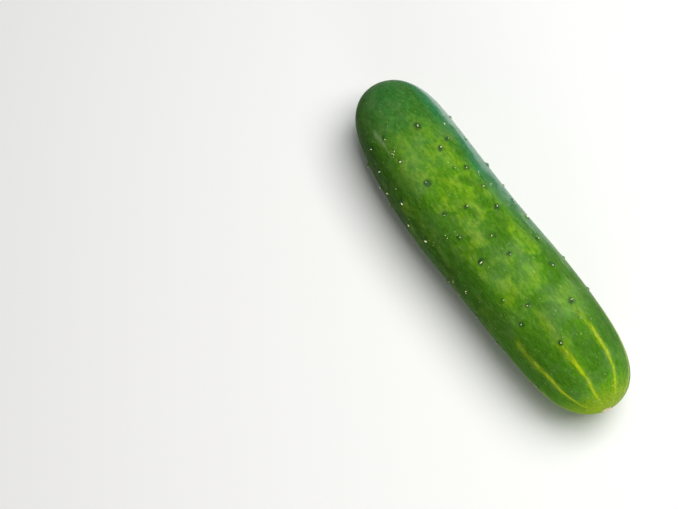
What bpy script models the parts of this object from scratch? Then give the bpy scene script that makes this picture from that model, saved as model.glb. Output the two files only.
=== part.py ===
"""Field cucumber, as picked, lying on its side on a flat surface.

The fruit grew as one piece, so it is one closed solid. Its length runs along X, with the stem end at -X and
the blossom end at +X, and it rests at z = 0 on a narrow flat along its underside. Along the fruit, u runs from
-1 at the stem end to 1 at the blossom end. Around it, an angle is measured from the top towards +Y.
"""

import math
import random

import bmesh
import bpy
import numpy as np
from mathutils import Matrix, Vector

# The fruit's body, in metres
LENGTH = 0.200
RADIUS = 0.0252
STEM_BLUNTNESS = 7.4
BLOSSOM_BLUNTNESS = 6.2
STEM_TAPER = 0.115
STEM_TILT = 0.10
BLOSSOM_TILT = 0.20
SCAR_SHIFT = 0.0040
TILT_FROM = 0.70

# The sideways bow of its middle line
BOW = 0.0027
SWAY = 0.00076
SWAY_FROM = 0.086
SWAY_HALF_WAVE = 0.68

# Its three soft lobes, ten shallow ribs and uneven growth
LOBES = 3
LOBE_HEIGHT = 0.00035
LOBE_TURN = math.radians(25)
RIBS = 10
RIB_HEIGHT = 0.00022
RIB_TWIST = math.radians(14)
SWELL_HEIGHT = 0.00030

# The underside that it lies on
REST_DEPTH = 0.00050
CALM_FROM = math.radians(150)
CALM_TO = math.radians(165)

# The stem end: a dimple with the cut stub of the stalk in it
DIMPLE_RADIUS = 0.0050
DIMPLE_DEPTH = 0.0015
STUB_RADIUS = 0.0027
STUB_SINK = 0.0003
STUB_SIDES = 5
STUB_CORNER = 0.09

# The blossom end: a corky scar inside a low rim
SCAR_RADIUS = 0.00245
SCAR_SINK = 0.0003
SCAR_RIM_RADIUS = 0.0031
SCAR_RIM_HEIGHT = 0.00018

# The warts, in staggered rows along the ribs, closest together near the stem end
WART_SEED = 791830
WART_FIRST = -0.80
WART_LAST = 0.78
STEM_BARE_TO = -0.70
WART_PITCH = 0.0125
WART_PITCH_GROWTH = 1.9
WART_JITTER = 0.42
WART_DRIFT = math.radians(14)
WART_RADIUS = (0.0014, 0.0024)
WART_HEIGHT = (0.0004, 0.0010)
WART_FADE = 0.45
WART_TIP = 0.0003
WART_ROOT = 0.0008
WART_CLEARANCE = 0.7
WART_LEAST = 0.0003

# The mesh
BODY_SEGMENTS = 40
BODY_STEPS = 52
WART_SEGMENTS = 8

SKIN_COLOUR = (0.085, 0.205, 0.020, 1.0)
SKIN_ROUGHNESS = 0.40


def clear_scene():
    """Removes what the scene holds."""
    for thing in list(bpy.data.objects):
        bpy.data.objects.remove(thing, do_unlink=True)


def smooth_step(value, low, high):
    """Rises smoothly from 0 at low to 1 at high."""
    share = np.clip((value - low) / (high - low), 0.0, 1.0)
    return share * share * (3.0 - 2.0 * share)


def body_radius(u):
    """Radius of the body: a full barrel with blunt ends, a little slimmer towards the stem."""
    u = np.asarray(u, dtype=float)
    bluntness = np.where(u < 0.0, STEM_BLUNTNESS, BLOSSOM_BLUNTNESS)
    taper = np.where(u < 0.0, 1.0 - STEM_TAPER * u * u, 1.0)
    return RADIUS * taper * np.sqrt(np.clip(1.0 - np.abs(u) ** bluntness, 0.0, 1.0))


def middle_line(u):
    """Sideways place of the middle line: one long bow with a slight sway in it, and a turn towards the scar,
    which lies a little off the middle of its end."""
    turn = np.clip((u - TILT_FROM) / (1.0 - TILT_FROM), 0.0, 1.0)
    sway = SWAY * np.sin(math.pi * (u - SWAY_FROM) / SWAY_HALF_WAVE)
    return BOW * u * u + sway - SCAR_SHIFT * turn * turn


def skin_relief(u, angle):
    """Height of the lobes, ribs and uneven growth over the turned body, fading at the ends and underneath."""
    fullness = body_radius(u) / RADIUS
    calm = 1.0 - smooth_step(np.abs(angle), CALM_FROM, CALM_TO)
    lobes = LOBE_HEIGHT * np.cos(LOBES * (angle - LOBE_TURN))
    ribs = RIB_HEIGHT * np.cos(RIBS * (angle + RIB_TWIST * u))
    swell = SWELL_HEIGHT * (np.sin(5.1 * u + angle) + np.sin(9.3 * u - 2.0 * angle + 1.2)) / 2.0
    return (lobes + ribs + swell) * calm * fullness ** 3


def grown(x, angle, radius):
    """Carries points of the turned blank to the finished skin: relief, bow, the slight tilt of both ends, and
    the flat that it lies on."""
    u = np.clip(x / (LENGTH / 2.0), -1.0, 1.0)
    on_stub = (u < 0.0) & (radius < STUB_RADIUS * 1.2)
    stub = np.where(on_stub, 1.0 + STUB_CORNER * np.cos(STUB_SIDES * angle), 1.0)
    radius = radius * stub + skin_relief(u, angle)
    side = radius * np.sin(angle)
    tilt = STEM_TILT * smooth_step(-u, TILT_FROM, 1.0) + BLOSSOM_TILT * smooth_step(u, TILT_FROM, 1.0)
    x = x + tilt * side
    y = side + middle_line(u)
    z = radius * np.cos(angle) + RADIUS - REST_DEPTH
    return np.stack([x, y, np.maximum(z, 0.0)], axis=-1)


def stem_profile(edge_x):
    """Profile of the stub and its dimple, from the axis out to the dome at edge_x."""
    top_x = edge_x + STUB_SINK
    floor_x = edge_x + DIMPLE_DEPTH
    return [
        (top_x + STUB_SINK, 0.0),
        (top_x, STUB_RADIUS * 0.55),
        (top_x, STUB_RADIUS),
        (floor_x, STUB_RADIUS * 1.12),
        (floor_x - DIMPLE_DEPTH * 0.15, (STUB_RADIUS + DIMPLE_RADIUS) / 2.0),
        (edge_x + DIMPLE_DEPTH * 0.35, DIMPLE_RADIUS * 0.92),
    ]


def blossom_profile(edge_x):
    """Profile of the low rim and the scar, from the dome at edge_x in to the axis."""
    return [
        (edge_x + SCAR_RIM_HEIGHT, SCAR_RADIUS),
        (edge_x - SCAR_SINK, SCAR_RADIUS * 0.72),
        (edge_x - SCAR_SINK * 0.6, SCAR_RADIUS * 0.3),
        (edge_x - SCAR_SINK, 0.0),
    ]


def body_profile():
    """Profile of the body between the dimple and the scar, in even steps along its curve."""
    u = np.sin(np.linspace(-0.5, 0.5, 2001) * math.pi)
    radius = body_radius(u)
    kept = radius >= np.where(u < 0.0, DIMPLE_RADIUS, SCAR_RIM_RADIUS)
    x, radius = u[kept] * LENGTH / 2.0, radius[kept]
    run = np.concatenate(([0.0], np.cumsum(np.hypot(np.diff(x), np.diff(radius)))))
    even = np.linspace(0.0, run[-1], BODY_STEPS + 1)
    return list(zip(np.interp(even, run, x), np.interp(even, run, radius)))


def turned_mesh(name, profile, segments, collection):
    """Turns a profile of (x, radius) about the X axis with a Screw modifier, and gives its closed mesh."""
    mesh = bpy.data.meshes.new(name + "_profile")
    edges = [(i, i + 1) for i in range(len(profile) - 1)]
    mesh.from_pydata([(x, 0.0, radius) for x, radius in profile], edges, [])
    line = bpy.data.objects.new(name + "_profile", mesh)
    collection.objects.link(line)
    screw = line.modifiers.new("turn", 'SCREW')
    screw.axis = 'X'
    screw.angle = 2.0 * math.pi
    screw.steps = segments
    screw.render_steps = segments
    screw.use_merge_vertices = True
    screw.merge_threshold = 1e-6
    bpy.context.view_layer.update()
    turned = bpy.data.meshes.new_from_object(line.evaluated_get(bpy.context.evaluated_depsgraph_get()))
    bpy.data.objects.remove(line, do_unlink=True)

    shape = bmesh.new()
    shape.from_mesh(turned)
    bmesh.ops.remove_doubles(shape, verts=shape.verts, dist=1e-6)
    bmesh.ops.recalc_face_normals(shape, faces=shape.faces)
    shape.to_mesh(turned)
    shape.free()
    turned.name = name
    return turned


def skin_mesh(collection):
    """Turns the body with both of its ends and gives it its relief, bow and underside."""
    body = body_profile()
    profile = stem_profile(body[0][0]) + body + blossom_profile(body[-1][0])
    mesh = turned_mesh("cucumber", profile, BODY_SEGMENTS, collection)
    place = np.empty(len(mesh.vertices) * 3)
    mesh.vertices.foreach_get("co", place)
    x, y, z = place.reshape(-1, 3).T
    mesh.vertices.foreach_set("co", grown(x, np.arctan2(y, z), np.hypot(y, z)).ravel())
    return mesh


def wart_list():
    """Draws the warts row by row, as (u, angle, radius, height). The stem end stays bare."""
    draw = random.Random(WART_SEED)
    half = LENGTH / 2.0
    warts = []
    for row in range(RIBS):
        u = WART_FIRST + draw.random() * WART_PITCH / half
        while u < WART_LAST:
            share = (u - WART_FIRST) / (WART_LAST - WART_FIRST)
            angle = 2.0 * math.pi * row / RIBS - RIB_TWIST * u + draw.uniform(-WART_DRIFT, WART_DRIFT)
            angle = math.remainder(angle, 2.0 * math.pi)
            size = draw.random() * (1.0 - WART_FADE * share)
            radius = WART_RADIUS[0] + size * (WART_RADIUS[1] - WART_RADIUS[0])
            height = WART_HEIGHT[0] + size * (WART_HEIGHT[1] - WART_HEIGHT[0])
            clearance = RADIUS + float(body_radius(u)) * math.cos(angle) - REST_DEPTH
            height = min(height, WART_CLEARANCE * clearance - WART_TIP)
            if height > WART_LEAST and u > STEM_BARE_TO:
                warts.append((u, angle, radius, height))
            pitch = WART_PITCH * (1.0 + WART_PITCH_GROWTH * share * share)
            u += pitch / half * draw.uniform(1.0 - WART_JITTER, 1.0 + WART_JITTER)
    return warts


def skin_frame(u, angle):
    """Finished skin's point at u and angle, and its outward normal, from points a small step away."""
    step = np.array([0.0, 1e-3, -1e-3, 0.0, 0.0])
    turn = np.array([0.0, 0.0, 0.0, 1e-3, -1e-3])
    x = (u + step) * LENGTH / 2.0
    points = [Vector(point) for point in grown(x, angle + turn, body_radius(u + step))]
    normal = (points[1] - points[2]).cross(points[3] - points[4]).normalized()
    return points[0], normal


def wart_mesh(collection):
    """A mound of radius 1 and height 1 along X, with its root below, for each wart to be scaled from."""
    profile = [(-1.0, 0.0), (-1.0, 0.85), (-0.1, 1.0), (0.55, 0.52), (1.0, 0.0)]
    return turned_mesh("wart", profile, WART_SEGMENTS, collection)


def make_warts(collection):
    """Stands a scaled mound on the skin at each wart's place, its root sunk in."""
    mound = wart_mesh(collection)
    for index, (u, angle, radius, height) in enumerate(wart_list()):
        point, normal = skin_frame(u, angle)
        wart = bpy.data.objects.new(f"wart_{index:02d}", mound.copy())
        for vertex in wart.data.vertices:
            rise = vertex.co.x * (height + WART_TIP) if vertex.co.x > 0.0 else vertex.co.x * WART_ROOT
            vertex.co = Vector((rise, vertex.co.y * radius, vertex.co.z * radius))
        turn = normal.to_track_quat('X', 'Z').to_matrix().to_4x4()
        wart.matrix_world = Matrix.Translation(point) @ turn
        collection.objects.link(wart)


def skin_material():
    """Waxy green skin."""
    material = bpy.data.materials.new("cucumber_skin")
    material.use_nodes = True
    shader = material.node_tree.nodes["Principled BSDF"]
    shader.inputs["Base Color"].default_value = SKIN_COLOUR
    shader.inputs["Roughness"].default_value = SKIN_ROUGHNESS
    shader.inputs["Metallic"].default_value = 0.0
    return material


def join_warts(cucumber, warts):
    """Fuses the collection of warts with the fruit by one Boolean union, and leaves one mesh."""
    union = cucumber.modifiers.new("warts", 'BOOLEAN')
    union.operation = 'UNION'
    union.operand_type = 'COLLECTION'
    union.collection = warts
    union.solver = 'EXACT'
    bpy.context.view_layer.update()
    fused = cucumber.evaluated_get(bpy.context.evaluated_depsgraph_get())
    mesh = bpy.data.meshes.new_from_object(fused)
    cucumber.modifiers.clear()
    cucumber.data = mesh
    for wart in list(warts.objects):
        bpy.data.objects.remove(wart, do_unlink=True)
    bpy.data.collections.remove(warts)


def centre_over_origin(mesh):
    """Shifts the mesh sideways so that the middle of its box stands over the origin."""
    place = np.empty(len(mesh.vertices) * 3)
    mesh.vertices.foreach_get("co", place)
    place = place.reshape(-1, 3)
    middle = (place.min(axis=0) + place.max(axis=0)) / 2.0
    mesh.transform(Matrix.Translation((-middle[0], -middle[1], 0.0)))


def make_cucumber(collection, warts):
    """Makes the fruit's skin, fuses its warts with it and finishes it as one node."""
    cucumber = bpy.data.objects.new("cucumber", skin_mesh(collection))
    collection.objects.link(cucumber)
    make_warts(warts)
    join_warts(cucumber, warts)
    centre_over_origin(cucumber.data)
    cucumber.data.name = "cucumber"
    cucumber.data.materials.clear()
    cucumber.data.materials.append(skin_material())
    cucumber.data.shade_smooth()


def main():
    clear_scene()
    collection = bpy.data.collections.new("cucumber")
    warts = bpy.data.collections.new("warts")
    for made in (collection, warts):
        bpy.context.scene.collection.children.link(made)
    make_cucumber(collection, warts)


main()
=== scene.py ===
"""Looks of a field cucumber: waxy green skin with warts, yellow-green stripes, a blossom scar and a stalk stub.

Lengths are in metres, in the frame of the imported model: X runs from the stem end to the blossom end, and the
fruit lies on z = 0. Along the fruit, u runs from -1 at the stem end to 1 at the blossom end. Around it, an
angle is measured from the top towards +Y.
"""

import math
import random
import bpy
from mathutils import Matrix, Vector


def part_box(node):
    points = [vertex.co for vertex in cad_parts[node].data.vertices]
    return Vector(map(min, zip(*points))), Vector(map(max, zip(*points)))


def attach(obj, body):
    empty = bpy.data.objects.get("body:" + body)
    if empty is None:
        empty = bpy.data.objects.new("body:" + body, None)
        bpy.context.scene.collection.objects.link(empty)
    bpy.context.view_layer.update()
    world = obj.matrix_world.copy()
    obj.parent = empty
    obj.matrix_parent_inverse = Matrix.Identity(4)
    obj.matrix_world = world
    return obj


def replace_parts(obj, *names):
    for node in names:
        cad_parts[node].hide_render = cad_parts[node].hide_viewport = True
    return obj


bl_info = {
    "name": "Field Cucumber",
    "version": (1, 0, 0),
    "blender": (4, 5, 0),
    "location": "View3D > Sidebar > Cucumber",
    "description": "Grows a cucumber's skin, warts, scars and finish around its solid model",
    "category": "Object",
}

from functools import partial
from types import SimpleNamespace

import bpy
import numpy as np
from bpy.props import FloatProperty, FloatVectorProperty, IntProperty, PointerProperty
from mathutils import Matrix, Vector

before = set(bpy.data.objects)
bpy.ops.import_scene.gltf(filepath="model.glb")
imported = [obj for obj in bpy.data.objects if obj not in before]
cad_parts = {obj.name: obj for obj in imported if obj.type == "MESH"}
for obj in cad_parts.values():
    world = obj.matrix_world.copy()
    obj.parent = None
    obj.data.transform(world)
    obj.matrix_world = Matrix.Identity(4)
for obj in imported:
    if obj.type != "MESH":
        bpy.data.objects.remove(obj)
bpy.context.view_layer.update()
NODE_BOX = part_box("cucumber")

# The body's form
STEM_BLUNTNESS = 7.4
BLOSSOM_BLUNTNESS = 6.2
STEM_TAPER = 0.115
STEM_TILT = 0.10
BLOSSOM_TILT = 0.20
SCAR_SHIFT = 0.0040
TILT_FROM = 0.70
SWAY = 0.00076
SWAY_FROM = 0.086
SWAY_HALF_WAVE = 0.68
LOBES = 3
LOBE_TURN = math.radians(25)
RIBS = 10
RIB_TWIST = math.radians(14)
SWELL_HEIGHT = 0.00030
REST_DEPTH = 0.00050
CALM_FROM = math.radians(150)
CALM_TO = math.radians(165)

# Both ends
DIMPLE_RADIUS = 0.0050
DIMPLE_DEPTH = 0.0015
STUB_RADIUS = 0.0027
STUB_SIDES = 5
STUB_CORNER = 0.09
STUB_FLARE = 0.28
STUB_PITH_DEPTH = 0.00035
STUB_KNOTS = 10
STUB_KNOT_HEIGHT = 0.00010
STUB_DARKNESS = 0.30
SEAT_DEPTH = 0.0004
SCAR_RADIUS = 0.00245
SCAR_PIT_DEPTH = 0.0005
SCAR_RIM_RADIUS = 0.0030
SCAR_RIM_HEIGHT = 0.00018
SCAR_CROWN = 0.00070
SCAR_HOLLOW = 0.00030
SCAR_FOLDS = 17
SCAR_FOLD_HEIGHT = 0.00011
SCAR_DARKNESS = 0.55

# The warts' rule
WART_FIRST = -0.80
WART_LAST = 0.78
STEM_BARE_TO = -0.70
WART_PITCH = 0.0125
WART_PITCH_GROWTH = 1.9
WART_JITTER = 0.42
WART_DRIFT = math.radians(14)
WART_RADIUS = (0.0014, 0.0024)
WART_HEIGHT = (0.0004, 0.0010)
WART_FADE = 0.45
WART_TIP = 0.0003
WART_CLEARANCE = 0.7
WART_LEAST = 0.0003
WART_STRETCH = 1.12
WART_MOAT = 0.00009
MOAT_WIDTH = 0.28
HALO_REACH = 1.8
BOLDNESS = (0.65, 1.15)
# Shift of each wart's dark spot off its middle, which puts painted shade on one side of it
DARK_OFFSET = 0.35
PATCH_OFFSET = 1.5
PATCH_REACH = 1.3
PATCH_STRETCH = 1.5
TIP_REACH = 0.45

# Wart tips and corky dots
TIP_OFFSET = 0.35
DOT_CLUSTERS = 44
DOTS_MOST = 6.0
DOT_RANGE = (-0.80, 0.34)
DOT_SPREAD = 0.0008
DOT_SIZE = (0.00014, 0.00034)
TIP_PROFILE = np.array([(0.95, -0.9), (1.0, -0.1), (0.82, 0.38), (0.45, 0.70)])
DOT_PROFILE = np.array([(1.0, -0.6), (0.95, 0.15), (0.55, 0.45)])
DOME_TOP = 0.12
DOME_STRETCH = 1.9

# Meshes
SKIN_RINGS = 380
SKIN_SEGMENTS = 254
DISC_SEGMENTS = 80
TIP_SEGMENTS = 8
DOT_SEGMENTS = 6
SCAR_FOOT_RINGS = 7

# Stripes and rub mark
STRIPES = 9
STRIPE_TURN = math.radians(25)
SCUFF_ANGLE = math.radians(-41)
SCUFF_START = (-0.735, -0.70)
SCUFF_END = (-0.64, -0.42)

MM = 0.001

# Grain of the skin, as (scale per metre, stretch, detail, warp)
GRAINS = {
    "broad": (30.0, 1.6, 3.0, 0.0),
    "patches": (95.0, 1.35, 4.0, 0.5),
    "small": (260.0, 1.6, 4.0, 0.6),
    "fine": (850.0, 2.4, 4.0, 0.4),
}

# Finish. TOP_V is the V of the line along the fruit that the mottling lies round.
TOP_V = 0.508
# Bluish tint of the band of painted reflection on the lit flank
REFLECTION_TINT = (0.3, 0.8, 1.2)
SKIN_BUMP = 0.18 * MM
CREAM_BUMP = 0.04 * MM
SCAR_BUMP = 0.20 * MM
STUB_BUMP = 0.25 * MM

# Lights, as (name, place, size, colour), and which of them show only in matt or only in shiny reflections
LIGHTS = (
    ("key", (0.10, 0.34, 1.02), (0.85, 0.85), (1.0, 0.995, 0.975)),
    ("end", (0.76, -0.46, 0.26), (0.5, 0.4), (1.0, 1.0, 0.98)),
    ("rim", (0.0, 0.90, 0.10), (0.8, 0.18), (0.10, 0.80, 0.70)),
    ("sheen", (-0.12, 0.45, 0.88), (0.18, 0.45), (1.0, 1.0, 1.0)),
    ("glint", (0.85, 0.20, 0.55), (0.12, 0.12), (1.0, 1.0, 1.0)),
)
UNREFLECTED = ("key", "end")
REFLECTED_ONLY = ("sheen", "glint")

# How far the camera aims beside and below the fruit's middle
AIM_BESIDE = 0.0721
AIM_BELOW = 0.0051
FLOOR_REACH = 3.0


def metres(name, description, default, low, high, digits=4):
    """Length in metres, shown to a number of digits."""
    return FloatProperty(
        name=name, description=description, default=default, min=low, max=high, precision=digits,
        subtype='DISTANCE', unit='LENGTH')


def rgb(name, description, default):
    """Colour without alpha."""
    return FloatVectorProperty(
        name=name, description=description, default=default, size=3, min=0.0, max=1.0, subtype='COLOR')


def watts(name, description, default):
    """Power of a light in watts."""
    return FloatProperty(
        name=name, description=description, default=default, min=0.0, subtype='POWER', unit='POWER')


class CucumberShape(bpy.types.PropertyGroup):
    """Sizes of the fruit."""

    radius: metres("Radius", "Radius of the body where it is fullest", 0.0252, 0.01, 0.05)
    length: metres("Length", "Length from the stem end to the blossom end", 0.200, 0.05, 0.4)
    bow: metres("Bow", "How far the ends bow to the side of the middle", 0.0027, 0.0, 0.03)
    lobe_height: metres("Lobe height", "Height of the three soft lobes", 0.00035, 0.0, 0.003, 5)
    rib_height: metres("Rib height", "Height of the shallow lengthwise ribs", 0.00022, 0.0, 0.003, 5)
    wart_seed: IntProperty(
        name="Wart seed", description="Seed of the draws that scatter the warts along the ribs",
        default=791830, min=0)
    tip_size: metres("Tip size", "Radius of the pale tip on a middling wart", 0.00040, 0.0001, 0.002, 5)


class CucumberColours(bpy.types.PropertyGroup):
    """Colours and gloss of the fruit."""

    # Its slight blue is partly a painted cool reflection at the stem end.
    stem_green: rgb("Stem green", "Deep green of the stem end", (0.034, 0.158, 0.026))
    body_green: rgb("Body green", "Main green along the body", (0.086, 0.252, 0.009))
    # On the flanks this green also carries painted shade.
    deep_green: rgb("Deep green", "Darker green of the flanks and the hollows", (0.041, 0.138, 0.007))
    pale_green: rgb("Pale green", "Yellow-green of the pale patches", (0.185, 0.345, 0.009))
    # This teal is painted reflection: it stands in for cool light reflected on the lit flank.
    flank_reflection_teal: rgb("Flank teal", "Deep bluish green of the flank away from the sun", (0.012, 0.160, 0.060))
    stripe_yellow: rgb("Stripe yellow", "Yellow-green of the stripes at the blossom end", (0.36, 0.46, 0.010))
    # Besides the real bloom, this grey also paints sheen on the lit side and, tinted bluish, the reflection band
    # on the lit flank.
    bloom: rgb("Bloom", "Thin greyish wax bloom on the skin", (0.26, 0.41, 0.19))
    # On the wart tips its near-white brightness is partly a painted highlight; on the dots it is their own pale
    # colour.
    pale_cream_and_glint: rgb("Tip cream", "Pale cream of the wart tips and the corky dots", (0.95, 0.95, 0.60))
    scar_tan: rgb("Scar tan", "Corky tan of the blossom scar", (0.92, 0.80, 0.58))
    stub_tan: rgb("Stub tan", "Dry greenish tan of the cut stalk stub", (0.36, 0.34, 0.16))
    roughness: FloatProperty(
        name="Roughness", description="Roughness of the waxy skin",
        default=0.56, min=0.05, max=1.0, subtype='FACTOR')


class CucumberStage(bpy.types.PropertyGroup):
    """Camera, lights and floor."""

    azimuth: FloatProperty(
        name="Azimuth", description="Direction of the line of sight around the fruit",
        default=math.radians(53.95), subtype='ANGLE', unit='ROTATION')
    elevation: FloatProperty(
        name="Elevation", description="Height of the line of sight above the horizon",
        default=math.radians(72.0), subtype='ANGLE', unit='ROTATION')
    distance: metres("Distance", "Distance from the camera to the fruit", 0.90, 0.3, 3.0, 2)
    lens: FloatProperty(
        name="Lens", description="Focal length of the camera",
        default=97.8, min=30.0, max=300.0, subtype='DISTANCE_CAMERA', unit='CAMERA')
    key_power: watts("Key power", "Power of the large soft light", 14.4)
    end_power: watts("End power", "Power of the soft light that faces the blossom end", 2.6)
    rim_power: watts("Rim power", "Power of the low cool light that draws the right edge", 0.55)
    sheen_power: watts("Sheen power", "Power of the panel that lies as a soft sheen on the skin", 0.60)
    glint_power: watts("Glint power", "Power of the small light that glints on the warts", 0.30)
    fill: FloatProperty(
        name="Fill", description="Strength of the even light from all around",
        default=0.04, min=0.0, max=2.0, subtype='FACTOR')
    floor_colour: rgb("Floor", "Colour of the floor", (0.92, 0.92, 0.92))


def smooth_step(value, low, high):
    """Rises from 0 at low to 1 at high as 3t^2 - 2t^3 of the share t between them."""
    share = np.clip((value - low) / (high - low), 0.0, 1.0)
    return share * share * (3.0 - 2.0 * share)


def body_radius(shape, u):
    """Radius at u: the full radius times the root of 1 - |u|^bluntness, a little slimmer towards the stem."""
    u = np.asarray(u, dtype=float)
    bluntness = np.where(u < 0.0, STEM_BLUNTNESS, BLOSSOM_BLUNTNESS)
    taper = np.where(u < 0.0, 1.0 - STEM_TAPER * u * u, 1.0)
    return shape.radius * taper * np.sqrt(np.clip(1.0 - np.abs(u) ** bluntness, 0.0, 1.0))


def middle_line(shape, u):
    """Sideways place of the middle line: a bow that grows as u^2, a slight sine sway, and a turn towards the
    scar that grows with the square of the share past TILT_FROM."""
    turn = np.clip((u - TILT_FROM) / (1.0 - TILT_FROM), 0.0, 1.0)
    sway = SWAY * np.sin(math.pi * (u - SWAY_FROM) / SWAY_HALF_WAVE)
    return shape.bow * u * u + sway - SCAR_SHIFT * turn * turn


def end_tilt(u):
    """Slope of the shear along X that tilts both ends, by a smooth step of u past TILT_FROM."""
    return STEM_TILT * smooth_step(-u, TILT_FROM, 1.0) + BLOSSOM_TILT * smooth_step(u, TILT_FROM, 1.0)


def skin_relief(shape, u, angle):
    """Height over the turned body: cosines around it for lobes and ribs, and two slow sines for uneven growth,
    all fading with the cube of the body's fullness at the ends, and to nothing underneath."""
    fullness = body_radius(shape, u) / shape.radius
    calm = 1.0 - smooth_step(np.abs(angle), CALM_FROM, CALM_TO)
    lobes = shape.lobe_height * np.cos(LOBES * (angle - LOBE_TURN))
    ribs = shape.rib_height * np.cos(RIBS * (angle + RIB_TWIST * u))
    swell = SWELL_HEIGHT * (np.sin(5.1 * u + angle) + np.sin(9.3 * u - 2.0 * angle + 1.2)) / 2.0
    return (lobes + ribs + swell) * calm * fullness ** 3


def grown(shape, x, u, angle, radius):
    """Point at an angle round the axis: radius plus relief, moved sideways by the middle line, sheared along X
    near both ends for their tilt, and raised so that the underside is cut off flat at z = 0."""
    radius = radius + skin_relief(shape, u, angle)
    side = radius * np.sin(angle)
    x = x + end_tilt(u) * side
    z = radius * np.cos(angle) + shape.radius - REST_DEPTH
    return np.stack([x, side + middle_line(shape, u), np.maximum(z, 0.0)], axis=-1)


def end_edges(shape):
    """X of the dome at the dimple's edge and at the scar's edge."""
    u = np.linspace(0.9, 1.0, 4001)
    stem = np.interp(DIMPLE_RADIUS, body_radius(shape, -u)[::-1], -u[::-1])
    blossom = np.interp(SCAR_RIM_RADIUS, body_radius(shape, u)[::-1], u[::-1])
    return stem * shape.length / 2.0, blossom * shape.length / 2.0


def skin_profile(shape):
    """Profile from pole to pole as (x, u, radius, share of the curve), evenly spaced along the curve. The stem
    pole sinks into a dimple by a smooth step of the radius, and the blossom pole into a shallow pit with a low
    rounded rim."""
    u = np.sin(np.linspace(-0.5, 0.5, 8001) * math.pi)
    radius = body_radius(shape, u)
    stem_x, blossom_x = end_edges(shape)
    dome_x = u * shape.length / 2.0
    dimple = 1.0 - smooth_step(radius, STUB_RADIUS * 1.05, DIMPLE_RADIUS * 1.2)
    pit = 1.0 - smooth_step(radius, SCAR_RADIUS * 0.8, SCAR_RADIUS * 1.12)
    rim = np.exp(-(((radius - SCAR_RIM_RADIUS) / (0.35 * MM)) ** 2))
    floor_x = stem_x + DIMPLE_DEPTH
    sunk_x = dome_x + dimple * (floor_x - dome_x)
    cupped_x = dome_x + rim * SCAR_RIM_HEIGHT - pit * (dome_x - blossom_x + SCAR_PIT_DEPTH)
    x = np.where(u < 0.0, sunk_x, cupped_x)
    run = np.concatenate(([0.0], np.cumsum(np.hypot(np.diff(x), np.diff(radius)))))
    even = np.linspace(0.0, run[-1], SKIN_RINGS + 1)
    return [np.interp(even, run, values) for values in (x, u, radius)] + [even / run[-1]]


def wart_list(shape):
    """Draws the warts row by row along the ribs, as (u, angle, radius, height): the pitch grows with the
    square of the share along the rows, the stem end stays bare, and no wart reaches the surface below."""
    draw = random.Random(shape.wart_seed)
    half = shape.length / 2.0
    warts = []
    for row in range(RIBS):
        u = WART_FIRST + draw.random() * WART_PITCH / half
        while u < WART_LAST:
            share = (u - WART_FIRST) / (WART_LAST - WART_FIRST)
            angle = 2.0 * math.pi * row / RIBS - RIB_TWIST * u + draw.uniform(-WART_DRIFT, WART_DRIFT)
            angle = math.remainder(angle, 2.0 * math.pi)
            size = draw.random() * (1.0 - WART_FADE * share)
            radius = WART_RADIUS[0] + size * (WART_RADIUS[1] - WART_RADIUS[0])
            height = WART_HEIGHT[0] + size * (WART_HEIGHT[1] - WART_HEIGHT[0])
            clearance = shape.radius + float(body_radius(shape, u)) * math.cos(angle) - REST_DEPTH
            height = min(height, WART_CLEARANCE * clearance - WART_TIP)
            if height > WART_LEAST and u > STEM_BARE_TO:
                warts.append((u, angle, radius, height))
            pitch = WART_PITCH * (1.0 + WART_PITCH_GROWTH * share * share)
            u += pitch / half * draw.uniform(1.0 - WART_JITTER, 1.0 + WART_JITTER)
    return np.array(warts)


def skin_frames(shape, u, angle):
    """Points of the skin at u and angle, with their outward normals, from points a small step away."""
    step = 1e-3

    def point(u, angle):
        return grown(shape, u * shape.length / 2.0, u, angle, body_radius(shape, u))

    along = point(u + step, angle) - point(u - step, angle)
    around = point(u, angle + step) - point(u, angle - step)
    normal = np.cross(along, around)
    return point(u, angle), normal / np.linalg.norm(normal, axis=-1, keepdims=True)


def along_skin(normals, turn):
    """Directions along the skin, turned around its normals by an angle from the way across the fruit."""
    side = np.cross(normals, (1.0, 0.0, 0.0))
    return np.cos(turn)[:, None] * side + np.sin(turn)[:, None] * np.cross(normals, side)


def surface_normals(points):
    """Outward unit normals of a grid of rings, as the cross product of the differences along and around it."""
    along = np.gradient(points, axis=0)
    around = np.roll(points, -1, axis=1) - np.roll(points, 1, axis=1)
    normal = np.cross(along, around)
    length = np.linalg.norm(normal, axis=-1, keepdims=True)
    normal = np.where(length > 1e-12, normal / np.maximum(length, 1e-12), 0.0)
    normal[0], normal[-1] = (-1.0, 0.0, 0.0), (1.0, 0.0, 0.0)
    return normal


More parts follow.
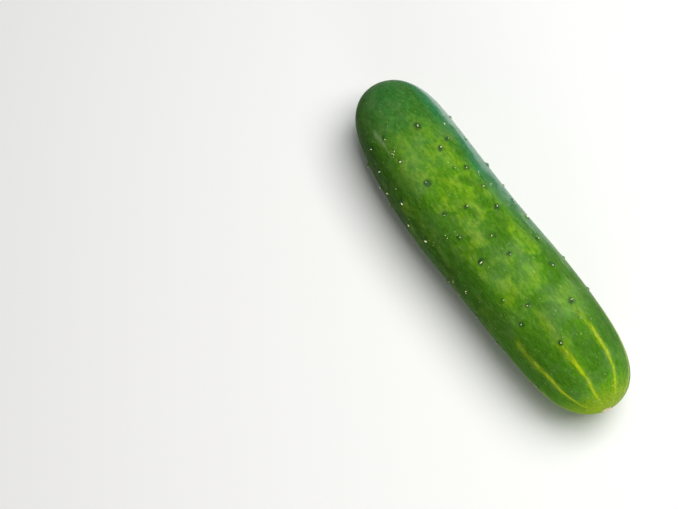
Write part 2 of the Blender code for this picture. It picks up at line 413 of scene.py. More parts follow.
def raise_warts(shape, points):
    """Raises each wart along the skin's normals as height * (1 - (d/r)^2)^2 of the distance d from its middle,
    with a short cone for its tip and a shallow Gaussian moat at d = r. It also gives each point's nearness to a
    wart: 0 away from it, and a little off its middle the wart's own boldness, which is drawn for it. This
    nearness darkens the skin, partly as the wart's dark green base and partly as painted shade on one side of
    it. A Gaussian patch lies beside some of the warts, on the other side, and its strength at each point is
    given too."""
    outward = surface_normals(points)
    warts = wart_list(shape)
    centres, normals = skin_frames(shape, warts[:, 0], warts[:, 1])
    rise = np.zeros(points.shape[:2])
    nearness = np.zeros(points.shape[:2])
    paleness = np.zeros(points.shape[:2])
    draw = np.random.default_rng(shape.wart_seed + 1)
    boldness = draw.uniform(*BOLDNESS, len(warts))
    turn = draw.uniform(0.0, 2.0 * math.pi, len(warts))
    strength = np.clip(draw.uniform(-0.6, 1.0, len(warts)), 0.0, 1.0)
    beside = along_skin(normals, turn)
    patches = centres + PATCH_OFFSET * warts[:, 2:3] * beside
    # Painted shade: each wart's dark spot is set off its middle, to one side
    shadows = centres - DARK_OFFSET * warts[:, 2:3] * beside
    each = zip(warts, centres, boldness, shadows, patches, strength)
    for (_, _, radius, height), centre, bold, shadow, patch, pale in each:
        offset = points - centre
        offset[..., 0] /= WART_STRETCH
        distance = np.linalg.norm(offset, axis=-1)
        rise += height * np.clip(1.0 - (distance / radius) ** 2, 0.0, 1.0) ** 2
        rise += WART_TIP * np.clip(1.0 - distance / (TIP_REACH * radius), 0.0, 1.0)
        rise -= WART_MOAT * np.exp(-(((distance / radius - 1.0) / MOAT_WIDTH) ** 2))
        aside = np.linalg.norm(points - shadow, axis=-1) / (HALO_REACH * radius)
        nearness = np.maximum(nearness, bold * np.clip(1.0 - aside, 0.0, 1.0))
        away = np.linalg.norm((points - patch) / (PATCH_STRETCH, 1.0, 1.0), axis=-1) / (PATCH_REACH * radius)
        paleness = np.maximum(paleness, pale * np.exp(-away ** 2))
    raised = points + outward * rise[..., None]
    raised[..., 2] = np.maximum(raised[..., 2], 0.0)
    return raised, nearness, paleness


def skin_grid(shape):
    """The whole skin as a grid of rings, with masks for each point: its nearness to a wart, the pale patches and
    the rub mark. It also gives the shift that sets the middle of its box over the middle of the solid's box."""
    x, u, radius, share = skin_profile(shape)
    angle = np.linspace(-math.pi, math.pi, SKIN_SEGMENTS, endpoint=False)
    points = grown(shape, x[:, None], u[:, None], angle[None, :], radius[:, None])
    points, nearness, paleness = raise_warts(shape, points)
    masks = {"near_wart": nearness, "pale_patch": paleness, "scuff": scuff_mask(share[:, None], angle[None, :])}
    low, high = points.min(axis=(0, 1)), points.max(axis=(0, 1))
    solid_low, solid_high = np.array(NODE_BOX[0]), np.array(NODE_BOX[1])
    shift = (solid_low + solid_high - low - high) / 2.0
    shift[2] = 0.0
    return points + shift, masks, shift


def ring_faces(rings, segments):
    """Corner indices of the quads between rings, and of the two fans that close the poles."""
    index = 1 + np.arange((rings - 1) * segments).reshape(rings - 1, segments)
    ahead = np.roll(index, -1, axis=1)
    quads = np.stack([index[:-1], index[1:], ahead[1:], ahead[:-1]], axis=-1).reshape(-1, 4)
    last = 1 + (rings - 1) * segments
    first_fan = np.stack([np.zeros(segments, int), index[0], ahead[0]], axis=-1)
    last_fan = np.stack([index[-1], np.full(segments, last), ahead[-1]], axis=-1)
    return quads, first_fan, last_fan


def mesh_from_rings(name, points):
    """Closed mesh of a grid of rings whose first and last rings are the poles, with its UV map: U is the share
    of the rings, and V goes once around."""
    rings, segments = points.shape[0] - 1, points.shape[1]
    vertices = np.concatenate([points[0, :1], points[1:-1].reshape(-1, 3), points[-1, :1]])
    quads, first_fan, last_fan = ring_faces(rings, segments)
    mesh = bpy.data.meshes.new(name)
    mesh.from_pydata(vertices, [], first_fan.tolist() + quads.tolist() + last_fan.tolist(), shade_flat=False)

    u = np.arange(1, rings) / rings
    v = np.arange(segments) / segments
    v_ahead = v + 1.0 / segments
    v_middle = (v + v_ahead) / 2.0
    low, high = np.repeat(u[:-1], segments), np.repeat(u[1:], segments)
    near, far = np.tile(v, rings - 2), np.tile(v_ahead, rings - 2)
    loops = np.concatenate([
        corner_uvs((0.0, v_middle), (u[0], v), (u[0], v_ahead)),
        corner_uvs((low, near), (high, near), (high, far), (low, far)),
        corner_uvs((u[-1], v), (1.0, v_middle), (u[-1], v_ahead))])
    layer = mesh.uv_layers.new(name="surface")
    layer.data.foreach_set("uv", loops.astype(np.float32).ravel())
    return mesh


def corner_uvs(*corners):
    """UV of each face's corners in turn, from the U and V of all first corners, all second corners and so on."""
    return np.stack([np.stack(np.broadcast_arrays(u, v), -1) for u, v in corners], axis=1).reshape(-1, 2)


def set_attribute(mesh, name, values):
    """Stores a number for each vertex of a mesh made by mesh_from_rings from the same grid."""
    flat = np.concatenate([values[0, :1], values[1:-1].ravel(), values[-1, :1]])
    mesh.attributes.new(name, 'FLOAT', 'POINT').data.foreach_set("value", flat.astype(np.float32))


def add_piece(name, mesh, material):
    """Links a mesh as a piece of the fruit, with its material."""
    mesh.materials.append(material)
    piece = bpy.data.objects.new(name, mesh)
    bpy.context.scene.collection.objects.link(piece)
    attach(piece, "root")
    return piece


def scuff_mask(share, angle):
    """A long faint rub mark on the stem half: a Gaussian across a slanting line, fading at both of its ends."""
    along = (share - 0.5) * 2.0
    middle = SCUFF_ANGLE + 0.03 * np.sin(30.0 * along)
    width = np.radians(2.9 + 0.9 * np.sin(47.0 * along) - 1.5 * smooth_step(along, -0.62, -0.54))
    across = np.exp(-(((angle - middle) / width) ** 2))
    return across * smooth_step(along, *SCUFF_START) * (1.0 - smooth_step(along, *SCUFF_END)) ** 1.5


# Node building

class Signal:
    """Number output in a node tree. Arithmetic with it adds Math nodes."""

    def __init__(self, tree, socket):
        self.tree = tree
        self.socket = socket

    def maths(self, operation, first, second=0.0):
        return signal(self.tree, 'ShaderNodeMath', {0: first, 1: second}, operation=operation)

    def __add__(self, other):
        return self.maths('ADD', self, other)

    def __sub__(self, other):
        return self.maths('SUBTRACT', self, other)

    def __rsub__(self, other):
        return self.maths('SUBTRACT', other, self)

    def __mul__(self, other):
        return self.maths('MULTIPLY', self, other)

    def __truediv__(self, other):
        return self.maths('DIVIDE', self, other)

    def __rtruediv__(self, other):
        return self.maths('DIVIDE', other, self)

    def clamped(self):
        """Keeps the sum or product that was made last between 0 and 1."""
        self.socket.node.use_clamp = True
        return self


class Paint:
    """Colour of a material, built up in layers of Mix nodes over a first colour."""

    def __init__(self, tree, first):
        self.tree = tree
        self.colour = opaque(first)

    def layer(self, factor, colour, mode='MIX'):
        """Lays a colour over the last one, by a factor."""
        inputs = {0: factor, 6: self.colour, 7: opaque(colour)}
        self.colour = add_node(self.tree, 'ShaderNodeMix', inputs, data_type='RGBA', blend_type=mode).outputs[2]


def set_inputs(tree, node, inputs):
    """Links each input that is given a socket or a signal, and sets the others."""
    for key, value in inputs.items():
        value = getattr(value, "socket", value)
        if isinstance(value, bpy.types.NodeSocket):
            tree.links.new(value, node.inputs[key])
        else:
            node.inputs[key].default_value = value


def add_node(tree, kind, inputs=None, **settings):
    """Adds a node with its settings and its inputs."""
    node = tree.nodes.new(kind)
    for name, value in settings.items():
        setattr(node, name, value)
    set_inputs(tree, node, inputs or {})
    return node


def signal(tree, kind, inputs=None, output=0, **settings):
    """Adds a node and gives one of its outputs as a signal."""
    return Signal(tree, add_node(tree, kind, inputs, **settings).outputs[output])


def rising(value, low, high):
    """Smooth step from 0 at low to 1 at high. It falls instead where low is above high."""
    inputs = {0: value, 1: low, 2: high}
    return signal(value.tree, 'ShaderNodeMapRange', inputs, interpolation_type='SMOOTHSTEP')


def band(value, start, full, fading, end):
    """Smooth step up from start to full, and down again from fading to end."""
    return rising(value, start, full) * rising(value, end, fading)


def highest(first, second):
    """The higher of two signals."""
    return first.maths('MAXIMUM', first, second)


def swayed(value, noise, span):
    """Value moved by a noise from 0 to 1, up to half the span either way."""
    return value + (noise - 0.5) * span


def opaque(colour):
    """Colour with full alpha, for a socket or a ramp. A socket is given back as it is."""
    return colour if isinstance(colour, bpy.types.NodeSocket) else (*colour, 1.0)


def scaled(colour, factor):
    """Colour times a factor."""
    return tuple(factor * value for value in colour)


def halfway(first, second):
    """Colour halfway between two others."""
    return tuple((a + b) / 2.0 for a, b in zip(first, second))


def colour_ramp(value, stops):
    """Colour Ramp with a stop at each (place, colour), eased between them."""
    ramp = add_node(value.tree, 'ShaderNodeValToRGB', {0: value})
    ramp.color_ramp.interpolation = 'EASE'
    elements = ramp.color_ramp.elements
    while len(elements) < len(stops):
        elements.new(0.5)
    for element, (place, colour) in zip(elements, stops):
        element.position = place
        element.color = opaque(colour)
    return ramp.outputs[0]


def stretched(tree, vector, x, y):
    """Output of a vector with its X times x and its Y times y."""
    factors = add_node(tree, 'ShaderNodeCombineXYZ', {0: x, 1: y, 2: 1.0}).outputs[0]
    return add_node(tree, 'ShaderNodeVectorMath', {0: vector, 1: factors}, operation='MULTIPLY').outputs[0]


def new_group(name, inputs, output):
    """Node group with a Vector input, named number inputs at their defaults, and one number output. It gives the
    inputs as signals."""
    tree = bpy.data.node_groups.new(name, 'ShaderNodeTree')
    tree.interface.new_socket("Vector", in_out='INPUT', socket_type='NodeSocketVector')
    for label, default in inputs.items():
        tree.interface.new_socket(label, in_out='INPUT', socket_type='NodeSocketFloat').default_value = default
    tree.interface.new_socket(output, in_out='OUTPUT', socket_type='NodeSocketFloat')
    sockets = tree.nodes.new('NodeGroupInput').outputs
    return tree, {label: Signal(tree, sockets[label]) for label in ("Vector", *inputs)}


def close_group(tree, value):
    """Links the group's output and gives the group."""
    add_node(tree, 'NodeGroupOutput', {0: value})
    return tree


def grain_group():
    """Soft growth grain: noise stretched along the vector's X by Stretch and curled by Warp, from 0 to 1, at
    Scale per metre."""
    inputs = {"Scale": 100.0, "Stretch": 1.0, "Detail": 3.0, "Warp": 0.0}
    tree, given = new_group("growth_grain", inputs, "Value")
    noise = signal(tree, 'ShaderNodeTexNoise', {
        "Vector": stretched(tree, given["Vector"], 1.0 / given["Stretch"], 1.0), "Scale": given["Scale"],
        "Detail": given["Detail"], "Roughness": 0.55, "Distortion": given["Warp"]})
    return close_group(tree, rising(noise, 0.25, 0.75))


def lines_group():
    """Lines drawn out over the surface: noise of the UV map, with its U times Along and its V times Around."""
    tree, given = new_group("surface_lines", {"Along": 3.0, "Around": 70.0, "Detail": 3.0}, "Value")
    place = stretched(tree, given["Vector"], given["Along"], given["Around"])
    inputs = {"Vector": place, "Scale": 1.0, "Detail": given["Detail"]}
    return close_group(tree, signal(tree, 'ShaderNodeTexNoise', inputs))


def speck_group():
    """Scattered dots: in a Voronoi pattern at Scale per metre, the cells drawn below Share hold a soft dot that
    reaches Size of the cell's width."""
    tree, given = new_group("pale_specks", {"Scale": 300.0, "Size": 0.2, "Share": 0.5}, "Mask")
    inputs = {"Vector": given["Vector"], "Scale": given["Scale"], "Randomness": 1.0}
    cells = add_node(tree, 'ShaderNodeTexVoronoi', inputs).outputs
    dot = rising(Signal(tree, cells["Distance"]), given["Size"], given["Size"] * 0.5)
    drawn = signal(tree, 'ShaderNodeSeparateXYZ', {0: cells["Color"]})
    return close_group(tree, dot * drawn.maths('LESS_THAN', drawn, given["Share"]))


def use_group(tree, name, **inputs):
    """Output of a shared node group, which is built at its first use."""
    builders = {"growth_grain": grain_group, "surface_lines": lines_group, "pale_specks": speck_group}
    group = bpy.data.node_groups.get(name) or builders[name]()
    return signal(tree, 'ShaderNodeGroup', inputs, node_tree=group)


def grain(tree, place, scale, stretch=1.0, detail=3.0, warp=0.0):
    """Growth grain with the given values."""
    return use_group(tree, "growth_grain", Vector=place, Scale=scale, Stretch=stretch, Detail=detail, Warp=warp)


def lines(tree, along, around, detail):
    """Surface lines with the given values."""
    return use_group(tree, "surface_lines", Vector=surface_uv(tree), Along=along, Around=around, Detail=detail)


def specks(tree, place, scale, size, share):
    """Pale specks with the given values."""
    return use_group(tree, "pale_specks", Vector=place, Scale=scale, Size=size, Share=share)


def surface_uv(tree):
    """Output of the surface's own UV map."""
    return add_node(tree, 'ShaderNodeUVMap', uv_map="surface").outputs[0]


def new_material(name):
    """Material with its tree, its Principled BSDF, and its Object coordinates."""
    material = bpy.data.materials.new(name)
    material.use_nodes = True
    tree = material.node_tree
    place = tree.nodes.new('ShaderNodeTexCoord').outputs["Object"]
    return material, tree, tree.nodes["Principled BSDF"], place


def bumped(height, depth):
    """Normal bumped by a height from 0 to 1, over a depth in metres."""
    return signal(height.tree, 'ShaderNodeBump', {"Height": height, "Distance": depth, "Strength": 1.0})


# Materials

def skin_signals(tree, place):
    """Values that the skin's layers share: where it is along and around the fruit, the masks of its mesh, noise
    from broad to fine, and the way around that the flank's edges follow."""
    split = add_node(tree, 'ShaderNodeSeparateXYZ', {0: surface_uv(tree)}).outputs
    at = SimpleNamespace(tree=tree, along=Signal(tree, split[0]), around=Signal(tree, split[1]))
    for name in ("near_wart", "pale_patch", "scuff"):
        setattr(at, name, signal(tree, 'ShaderNodeAttribute', None, "Fac", attribute_name=name))
    at.grain = partial(grain, tree, place)
    for name, values in GRAINS.items():
        setattr(at, name, at.grain(*values))
    at.streaks = lines(tree, 3.0, 70.0, 3.0)
    at.dots = highest(specks(tree, place, 330.0, 0.15, 0.25), specks(tree, place, 800.0, 0.26, 0.28) * 0.55)
    at.edge = swayed(at.around, at.patches, 0.03)
    return at


def ground_paint(at, colours):
    """Greens of the skin: a ramp along the fruit, deeper away from the top, partly the skin's own deeper green
    and partly painted shade of the sides, and darkest on the flank turned from the light, where the shade is
    painted, with pale mottling on the top and the belly, and darker hollows in it."""
    green, deep, pale = colours.body_green, colours.deep_green, colours.pale_green
    wavering = swayed(at.along, at.broad, 0.10)
    paint = Paint(at.tree, colour_ramp(wavering, [
        (0.02, colours.stem_green), (0.11, colours.stem_green), (0.40, green), (0.62, green),
        (0.80, halfway(green, deep)), (0.90, green), (0.97, pale)]))

    from_top = at.around - TOP_V
    off_top = swayed(from_top.maths('ABSOLUTE', from_top), at.patches, 0.05)
    # Darker away from the top: partly the skin's deeper green, partly painted shade of the sides
    flank = rising(off_top, 0.055, 0.15) * rising(at.along, 1.02, 0.74)
    paint.layer(flank * 0.75, deep)
    # Painted shade: the flank turned from the key light, darkest on the stem half
    painted_flank_shade = band(at.around, 0.02, 0.16, 0.30, 0.40) * band(at.along, 0.06, 0.20, 0.50, 0.80)
    paint.layer(painted_flank_shade * 0.75, scaled(deep, 0.36))

    belly = rising(off_top, 0.33, 0.46) * 0.8
    shown = band(wavering, 0.07, 0.42, 0.60, 0.78) * highest(1.0 - flank * 0.8, belly)
    mottled = rising(at.patches * 0.55 + at.small * 0.45, 0.34, 0.80) * shown
    paint.layer(mottled * 0.90, pale)
    hollows = at.patches * 0.5 + at.broad * 0.5
    paint.layer(rising(hollows, 0.52, 0.22) * 0.60, deep)
    return paint


def paint_flank_reflection(paint, at, colours):
    """Clouded teal on the lit flank, a painted cool reflection laid over the skin, with a paler bluish band low
    on it that is a painted reflection of the bright edge. Both fade out towards both ends.
    """
    # Painted reflection: teal where cool light is reflected on the lit flank
    cool = band(at.edge, 0.57, 0.64, 0.64, 0.88) * band(at.along, 0.02, 0.16, 0.36, 0.66)
    paint.layer(cool * (at.small * 0.40 + 0.60), colours.flank_reflection_teal)
    # Painted reflection: a paler bluish band at the lit flank's bright edge
    painted_rim_reflection = band(at.edge, 0.635, 0.665, 0.68, 0.84) * band(at.along, 0.02, 0.16, 0.40, 0.70)
    paint.layer(painted_rim_reflection * 0.30, tuple(value * tint for value, tint in zip(colours.bloom, REFLECTION_TINT)))


def stripe_masks(at):
    """Cores and pale halos of the wavy stripes that start a third of the way from the blossom end and run into
    it. A stripe's middle is where the ping-pong of the angle's multiple is 0, moved by noise, and its width
    varies along it."""
    phase = at.around * float(STRIPES) + STRIPES * (0.5 - STRIPE_TURN / (2.0 * math.pi))
    phase = swayed(swayed(phase, at.grain(45.0, 1.5), 0.16), at.grain(260.0, 1.8), 0.045)
    gap = phase.maths('PINGPONG', phase, 0.5)
    start = at.along + at.grain(26.0) * 0.07
    ragged = at.grain(300.0, 1.5, 4.0, 0.4) * 0.040 * rising(start, 0.98, 0.74)
    width = (at.grain(38.0, 1.2) * 0.050 + 0.030 + ragged) * (rising(start, 0.92, 0.72) * 0.25 + 1.0)
    line = gap / width
    broken = rising(at.grain(420.0, 3.5, 4.0, 0.2), 0.62, 0.36) * rising(start, 0.93, 0.78)
    patchy = (at.grain(190.0, 3.0) * 0.45 + 0.62) * (1.0 - broken * 0.65)
    strength = (rising(start, 0.725, 0.775) * 0.40 + rising(start, 0.81, 0.87) * 0.60) * patchy
    return (rising(line, 1.4, 0.5) * strength).clamped(), (rising(line, 3.8, 0.8) * strength).clamped()


def paint_stripes(paint, at, colours):
    """Yellow-green stripes with pale halos, which run into a yellow zone round the scar."""
    core, halo = stripe_masks(at)
    paint.layer(halo * 0.55, colours.pale_green)
    paint.layer(core, colours.stripe_yellow)
    end_zone = rising(swayed(at.along, at.patches, 0.02), 0.90, 0.99) * 0.76
    paint.layer(end_zone, halfway(colours.pale_green, colours.stripe_yellow))


def paint_marks(paint, at, colours):
    """Pale patches beside some warts, a dark ragged base round each wart, partly its own dark green and partly
    painted shade, and fine pale dots all over.
    """
    paint.layer((at.pale_patch * (at.small * 0.7 + 0.1)).clamped(), colours.pale_green)
    ragged = swayed(swayed(at.near_wart, at.fine, 0.55), at.small, 0.60)
    # Dark base round each wart: partly its dark green, partly painted shade on one side of it
    base = rising(ragged, 0.36, 0.84) * 0.80 + rising(at.near_wart, 0.30, 0.60) * 0.16
    paint.layer(base, scaled(colours.stem_green, 0.38))
    paint.layer(at.dots * 0.22, colours.pale_cream_and_glint)


def paint_bloom(paint, at, colours):
    """Uneven lightness in lengthwise streaks, and over it the greyish bloom: fine everywhere, hazy on top and on
    the lit flank, where it is partly bloom and partly painted sheen, and rubbed together in the scuff."""
    lightness = at.fine * 0.48 + at.streaks * 0.30 + 0.63
    grey = add_node(at.tree, 'ShaderNodeCombineXYZ', {0: lightness, 1: lightness, 2: lightness}).outputs[0]
    paint.layer(1.0, grey, 'MULTIPLY')
    # Hazy on the top and the lit flank only: partly bloom, partly painted sheen
    bloom_haze_and_sheen = rising(at.grain(48.0, 1.2), 0.45, 0.90) * (band(at.around, 0.30, 0.44, 0.80, 0.98) * 0.12)
    bloom = rising(at.small, 0.35, 0.95) * 0.06 + bloom_haze_and_sheen + at.scuff * at.small * 0.65
    paint.layer(bloom.clamped(), colours.bloom)


def coat_weight(at):
    """Weight of the wax coat: thin on the top, polished with a ragged border on one flank, and glossy on the
    warts."""
    border = swayed(at.edge, at.small, 0.024)
    polished = (rising(border, 0.634, 0.664) * rising(at.around, 0.96, 0.78) * (0.95 - at.small * 0.25)
                * rising(at.along, 0.95, 0.30))
    thin = band(at.around, 0.36, 0.47, 0.80, 0.98) * 0.12
    return (highest(polished, rising(at.near_wart, 0.50, 0.90) * 0.5) + thin).clamped()


def skin_material(colours):
    """Waxy skin. Along the fruit it goes from deep green at the stem end to a lighter green, with yellow-green
    mottling in the middle, stripes towards the blossom end and a yellow zone round the scar. Painted shade
    darkens its sides and the flank turned from the light, and painted teal and bluish reflections lie on the lit
    flank.
    Dark wart bases, partly painted shade, pale dots, a rub mark and a thin bloom, partly painted sheen, lie over
    that."""
    material, tree, shader, place = new_material("cucumber_skin")
    at = skin_signals(tree, place)
    paint = ground_paint(at, colours)
    for add_layers in (paint_flank_reflection, paint_stripes, paint_marks, paint_bloom):
        add_layers(paint, at, colours)
    height = at.small * 0.45 + at.fine * 0.20 + at.streaks * 0.35 + at.dots * 0.15
    set_inputs(tree, shader, {
        "Base Color": paint.colour, "Roughness": ((at.small - 0.5) * 0.16 + colours.roughness).clamped(),
        "Specular IOR Level": 0.03, "Coat Weight": coat_weight(at), "Coat Roughness": 0.12, "Coat IOR": 1.40,
        "Normal": bumped(height, SKIN_BUMP)})
    return material


def cream_material(colours):
    """Pale cream of the wart tips and the corky dots, a little browner here and there. On the tips its
    near-white brightness is partly a painted highlight.
    """
    material, tree, shader, place = new_material("cork_cream")
    paint = Paint(tree, colours.pale_cream_and_glint)
    paint.layer(rising(grain(tree, place, 150.0), 0.30, 0.75) * 0.6, scaled(colours.pale_cream_and_glint, 0.60))
    set_inputs(tree, shader, {
        "Base Color": paint.colour, "Roughness": 0.30, "Coat Weight": 0.4, "Coat Roughness": 0.15,
        "Normal": bumped(grain(tree, place, 2500.0), CREAM_BUMP)})
    return material


def cork_material(name, light, darkness, depth):
    """Dry corky skin: light ridges and furrows, dark by a factor, that follow the angle round the middle, with
    dark specks."""
    material, tree, shader, place = new_material(name)
    mixed = lines(tree, 4.0, 26.0, 4.0) * 0.7 + grain(tree, place, 1800.0) * 0.3
    dark = scaled(light, darkness)
    paint = Paint(tree, light)
    paint.layer(rising(mixed, 0.56, 0.36), dark)
    paint.layer(specks(tree, place, 2600.0, 0.3, 0.25) * 0.5, dark)
    set_inputs(tree, shader, {"Base Color": paint.colour, "Roughness": 0.78, "Normal": bumped(mixed, depth)})
    return material


def floor_material(colour):
    """Plain pale matt floor with a trace of unevenness."""
    material, tree, shader, place = new_material("pale_floor")
    paint = Paint(tree, colour)
    paint.layer(grain(tree, place, 6.0) * 0.03, scaled(colour, 0.9))
    set_inputs(tree, shader, {"Base Color": paint.colour, "Roughness": 0.85})
    return material


# Operators

class PieceStep:
    """Step that makes a piece from the shape and the colours."""

    def execute(self, context):
        self.make(context.scene.cucumber_shape, context.scene.cucumber_colours)
        return {'FINISHED'}


class CUCUMBER_OT_skin(PieceStep, bpy.types.Operator):
    """Grow the skin with its lobes, ribs, warts and both ends"""

    bl_idname = "cucumber.skin"
    bl_label = "Skin"

    def make(self, shape, colours):
        points, masks, _ = skin_grid(shape)
        mesh = mesh_from_rings("cucumber_skin", points)
        for name, values in masks.items():
            set_attribute(mesh, name, values)
        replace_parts(add_piece("cucumber_skin", mesh, skin_material(colours)), "cucumber")


class CUCUMBER_OT_wart_tips(PieceStep, bpy.types.Operator):
    """Set a small pale tip on each wart"""

    bl_idname = "cucumber.wart_tips"
    bl_label = "Wart tips"

    def make(self, shape, colours):
        add_piece("wart_tips", tip_mesh(shape), cream_material(colours))


def tip_mesh(shape):
    """All tips as one mesh. A tip is a small dome on its wart's slope, a drawn share of the radius off its
    middle, and its size is drawn too."""
    warts = wart_list(shape)
    centres, normals = skin_frames(shape, warts[:, 0], warts[:, 1])
    draw = np.random.default_rng(shape.wart_seed)
    size = shape.tip_size * (0.60 + 0.8 * draw.random(len(warts)) ** 1.5)
    turn = draw.uniform(0.0, 2.0 * math.pi, len(warts))
    off = draw.uniform(0.0, TIP_OFFSET, len(warts))
    rise = warts[:, 3] * (1.0 - off ** 2) ** 2 + 0.75 * WART_TIP * np.clip(1.0 - off / TIP_REACH, 0.0, 1.0)
    feet = centres + along_skin(normals, turn) * (off * warts[:, 2])[:, None] + normals * rise[:, None]
    return dome_mesh("wart_tips", feet + skin_grid(shape)[2], normals, size, TIP_PROFILE, TIP_SEGMENTS, draw)


def dome_mesh(name, feet, normals, size, profile, segments, draw):
    """Small oval domes as one mesh: at each foot, a profile of (radius, height) around the normal, both times
    the dome's size, longer in a drawn direction by a drawn factor, closed by a fan on top and one face
    below."""
    angle = np.arange(segments) * 2.0 * math.pi / segments
    side = np.cross(normals, (1.0, 0.0, 0.0))
    side /= np.linalg.norm(side, axis=1, keepdims=True)
    other = np.cross(normals, side)
    turn = draw.uniform(0.0, math.pi, (len(feet), 1))
    longer = draw.uniform(1.0, DOME_STRETCH, (len(feet), 1, 1))
    long_way = np.cos(turn) * side + np.sin(turn) * other
    short_way = np.cos(turn) * other - np.sin(turn) * side
    around = (np.cos(angle)[None, :, None] * longer * long_way[:, None]
              + np.sin(angle)[None, :, None] / longer * short_way[:, None])
    rings = feet[:, None, None] + size[:, None, None, None] * (
        profile[None, :, None, :1] * around[:, None] + profile[None, :, None, 1:] * normals[:, None, None])
    tops = feet + (profile[-1, 1] + DOME_TOP) * size[:, None] * normals
    count = len(profile) * segments
    vertices = np.concatenate([rings.reshape(len(feet), -1, 3), tops[:, None]], axis=1)

    index = np.arange(count).reshape(len(profile), segments)
    ahead = np.roll(index, -1, axis=1)
    quads = np.stack([index[:-1], ahead[:-1], ahead[1:], index[1:]], axis=-1).reshape(-1, 4)
    fan = np.stack([index[-1], ahead[-1], np.full(segments, count)], axis=-1)
    faces = []
    for start in range(0, len(feet) * (count + 1), count + 1):
        faces += (quads + start).tolist() + (fan + start).tolist() + [(index[0][::-1] + start).tolist()]
    mesh = bpy.data.meshes.new(name)
    mesh.from_pydata(vertices.reshape(-1, 3), [], faces, shade_flat=False)
    return mesh


class CUCUMBER_OT_corky_dots(PieceStep, bpy.types.Operator):
    """Scatter small corky dots over the skin, alone and in clusters"""

    bl_idname = "cucumber.corky_dots"
    bl_label = "Corky dots"

    def make(self, shape, colours):
        add_piece("corky_dots", dot_mesh(shape), cream_material(colours))


def dot_mesh(shape):
    """Dots as one mesh of low domes: clusters at drawn places, each of a drawn number of dots that lie by a
    normal distribution round its middle."""
    draw = np.random.default_rng(shape.wart_seed + 2)
    along = draw.uniform(*DOT_RANGE, DOT_CLUSTERS)
    middle = np.stack([along, draw.uniform(-CALM_FROM, CALM_FROM, DOT_CLUSTERS)], axis=-1)
    count = 1 + (DOTS_MOST * draw.random(DOT_CLUSTERS) ** 2.2).astype(int)
    middle = np.repeat(middle, count, axis=0)
    spread = draw.normal(0.0, DOT_SPREAD, middle.shape)
    u, angle = (middle + spread / (shape.length / 2.0, shape.radius)).T
    feet, normals = skin_frames(shape, u, angle)
    size = draw.uniform(*DOT_SIZE, len(u))
    return dome_mesh("corky_dots", feet + skin_grid(shape)[2], normals, size, DOT_PROFILE, DOT_SEGMENTS, draw)


class CUCUMBER_OT_blossom_scar(PieceStep, bpy.types.Operator):
    """Set the corky scar into the pit at the blossom end"""

    bl_idname = "cucumber.blossom_scar"
    bl_label = "Blossom scar"

    def make(self, shape, colours):
        cork = cork_material("blossom_cork", colours.scar_tan, SCAR_DARKNESS, SCAR_BUMP)
        add_piece("blossom_scar", scar_mesh(shape), cork)


def scar_mesh(shape):
    """Scar as a closed disc: its height falls towards the rim and into a small pit in the middle, and folds run
    out from there as a cosine of the angle that grows with the radius. Its outline is slightly lobed."""
    _, edge_x = end_edges(shape)
    angle = np.linspace(-math.pi, math.pi, DISC_SEGMENTS, endpoint=False)
    out = np.concatenate([np.linspace(0.0, 1.0, SCAR_FOOT_RINGS) ** 0.7, np.linspace(1.0, 0.0, 26)])
    share = out[:, None]
    lobed = SCAR_RADIUS * (1.0 + 0.05 * np.sin(3.0 * angle + 0.6) + 0.03 * np.sin(7.0 * angle))
    folds = SCAR_FOLD_HEIGHT * share * np.cos(SCAR_FOLDS * angle + 2.0 * np.sin(3.0 * angle))
    crown = SCAR_CROWN * (1.0 - share ** 6) - SCAR_HOLLOW * np.exp(-((share / 0.25) ** 2))
    top = edge_x + crown + folds * (1.0 - share ** 8)
    is_top = (np.arange(len(out)) >= SCAR_FOOT_RINGS)[:, None]
    x = np.where(is_top, top, edge_x - SCAR_PIT_DEPTH - SEAT_DEPTH)
    return mesh_at_end("blossom_scar", shape, x, angle, share * lobed, 1.0)


def mesh_at_end(name, shape, x, angle, radius, end):
    """Mesh of rings round the fruit's middle line at one of its ends, carried to the skin's place."""
    return mesh_from_rings(name, grown(shape, x, end, angle, radius) + skin_grid(shape)[2])


class CUCUMBER_OT_stalk_stub(PieceStep, bpy.types.Operator):
    """Set the cut stub of the stalk into the dimple at the stem end"""

    bl_idname = "cucumber.stalk_stub"
    bl_label = "Stalk stub"

    def make(self, shape, colours):
        fibre = cork_material("stalk_fibre", colours.stub_tan, STUB_DARKNESS, STUB_BUMP)
        add_piece("stalk_stub", stub_mesh(shape), fibre)


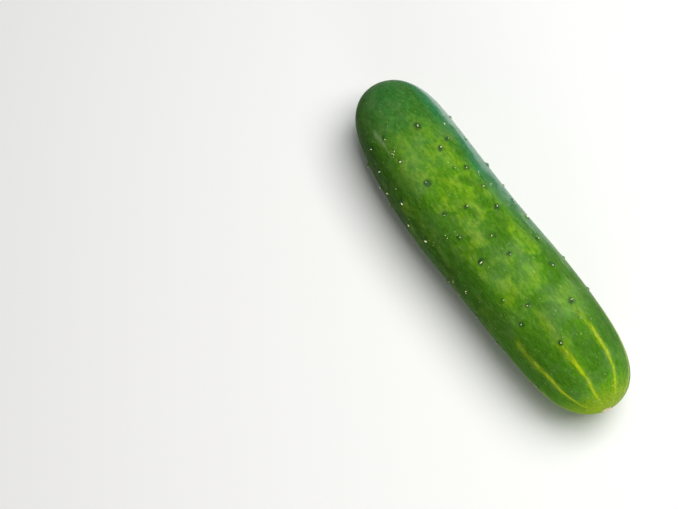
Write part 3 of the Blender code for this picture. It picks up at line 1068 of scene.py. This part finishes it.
def stub_mesh(shape):
    """Stub as a closed peg: its radius varies as a cosine of STUB_SIDES times the angle, its foot flares into
    the dimple, and its cut face dips towards a pith in the middle with a ring of small fibre knots."""
    edge_x, _ = end_edges(shape)
    angle = np.linspace(-math.pi, math.pi, DISC_SEGMENTS, endpoint=False)
    cut = np.linspace(0.0, 1.0, 22)[:, None]
    wall = np.linspace(1.0, 0.0, 12)[:, None]
    corner = 1.0 + STUB_CORNER * np.cos(STUB_SIDES * angle)
    cut_radius = STUB_RADIUS * 0.97 * cut * corner
    wall_radius = STUB_RADIUS * (0.99 + STUB_FLARE * (1.0 - wall) ** 2) * corner
    knots = STUB_KNOT_HEIGHT * np.exp(-(((cut - 0.66) / 0.10) ** 2)) * np.cos(STUB_KNOTS * angle)
    dip = STUB_PITH_DEPTH * np.exp(-((cut / 0.42) ** 2)) - 0.12 * MM * cut ** 8 + knots
    top_x = edge_x + 0.25 * MM + dip + 0.05 * MM * np.cos(3.0 * angle + 1.0) * cut
    foot_x = edge_x + DIMPLE_DEPTH + SEAT_DEPTH
    wall_x = foot_x + wall * (top_x[-1:] - foot_x)
    floor_radius = wall_radius[-1:] * np.array([[0.5], [0.0]])
    x = np.concatenate([top_x, wall_x[1:], np.full((2, DISC_SEGMENTS), foot_x)])
    radius = np.concatenate([cut_radius, wall_radius[1:], floor_radius])
    return mesh_at_end("stalk_stub", shape, x, angle, radius, -1.0)


class CUCUMBER_OT_stage(bpy.types.Operator):
    """Lay the floor, hang the lights and aim the camera"""

    bl_idname = "cucumber.stage"
    bl_label = "Stage"

    def execute(self, context):
        stage = context.scene.cucumber_stage
        lay_floor(stage)
        for name, place, size, colour in LIGHTS:
            lamp = add_area_light(name + "_light", place, size, getattr(stage, name + "_power"), colour)
            lamp.visible_glossy = name not in UNREFLECTED
            lamp.visible_diffuse = name not in REFLECTED_ONLY
        light_world(stage.fill)
        aim_camera(stage)
        context.scene.view_settings.view_transform = 'Standard'
        return {'FINISHED'}


def lay_floor(stage):
    """Pale floor at z = 0."""
    corners = [(FLOOR_REACH * x, FLOOR_REACH * y, 0.0) for x, y in ((-1, -1), (1, -1), (1, 1), (-1, 1))]
    mesh = bpy.data.meshes.new("floor")
    mesh.from_pydata(corners, [], [(0, 1, 2, 3)])
    mesh.materials.append(floor_material(stage.floor_colour))
    floor = bpy.data.objects.new("floor", mesh)
    bpy.context.scene.collection.objects.link(floor)


def add_area_light(name, place, size, power, colour):
    """Soft light panel at a place, facing the fruit."""
    light = bpy.data.lights.new(name, 'AREA')
    light.shape = 'RECTANGLE'
    light.size, light.size_y = size
    light.energy = power
    light.color = colour
    lamp = bpy.data.objects.new(name, light)
    lamp.location = place
    lamp.rotation_euler = Vector(place).to_track_quat('Z', 'Y').to_euler()
    lamp.visible_camera = False
    bpy.context.scene.collection.objects.link(lamp)
    return lamp


def light_world(fill):
    """Even white light from all around."""
    world = bpy.data.worlds.new("soft_fill")
    world.use_nodes = True
    background = world.node_tree.nodes["Background"]
    set_inputs(world.node_tree, background, {"Color": (1.0, 1.0, 1.0, 1.0), "Strength": fill})
    bpy.context.scene.world = world


def aim_camera(stage):
    """Camera on the line of sight to the fruit's middle, aimed beside it so that the fruit stands right of the
    picture's middle."""
    middle = (Vector(NODE_BOX[0]) + Vector(NODE_BOX[1])) / 2.0
    azimuth, elevation = stage.azimuth, stage.elevation
    back = Vector((math.sin(azimuth) * math.cos(elevation), -math.cos(azimuth) * math.cos(elevation),
                   math.sin(elevation)))
    right = Vector((math.cos(azimuth), math.sin(azimuth), 0.0))
    up = back.cross(right)
    place = middle + back * stage.distance
    target = middle - right * AIM_BESIDE - up * AIM_BELOW
    behind = (place - target).normalized()
    aside = up.cross(behind).normalized()
    turn = Matrix((aside, behind.cross(aside), behind)).transposed()

    lens = bpy.data.cameras.new("camera")
    lens.lens = stage.lens
    lens.clip_start = 0.01
    camera = bpy.data.objects.new("camera", lens)
    camera.location = place
    camera.rotation_euler = turn.to_euler()
    bpy.context.scene.collection.objects.link(camera)
    bpy.context.scene.camera = camera


class CUCUMBER_PT_sidebar(bpy.types.Panel):
    """Sizes, colours and steps of the cucumber"""

    bl_idname = "CUCUMBER_PT_sidebar"
    bl_label = "Cucumber"
    bl_space_type = 'VIEW_3D'
    bl_region_type = 'UI'
    bl_category = "Cucumber"

    def draw(self, context):
        layout = self.layout
        for group, kind in SETTINGS.items():
            box = layout.box()
            for name in kind.__annotations__:
                box.prop(getattr(context.scene, group), name)
        for step in STEPS:
            layout.operator(step.bl_idname)


STEPS = (
    CUCUMBER_OT_stage,
    CUCUMBER_OT_skin,
    CUCUMBER_OT_wart_tips,
    CUCUMBER_OT_corky_dots,
    CUCUMBER_OT_blossom_scar,
    CUCUMBER_OT_stalk_stub,
)
SETTINGS = {
    "cucumber_shape": CucumberShape, "cucumber_colours": CucumberColours, "cucumber_stage": CucumberStage}
CLASSES = (*SETTINGS.values(), *STEPS, CUCUMBER_PT_sidebar)


def register():
    for item in CLASSES:
        bpy.utils.register_class(item)
    for group, kind in SETTINGS.items():
        setattr(bpy.types.Scene, group, PointerProperty(type=kind))


def unregister():
    for group in SETTINGS:
        delattr(bpy.types.Scene, group)
    for item in reversed(CLASSES):
        bpy.utils.unregister_class(item)


def main():
    register()
    bpy.ops.cucumber.stage()
    bpy.ops.cucumber.skin()
    bpy.ops.cucumber.wart_tips()
    bpy.ops.cucumber.corky_dots()
    bpy.ops.cucumber.blossom_scar()
    bpy.ops.cucumber.stalk_stub()


if __name__ == "__main__":
    main()
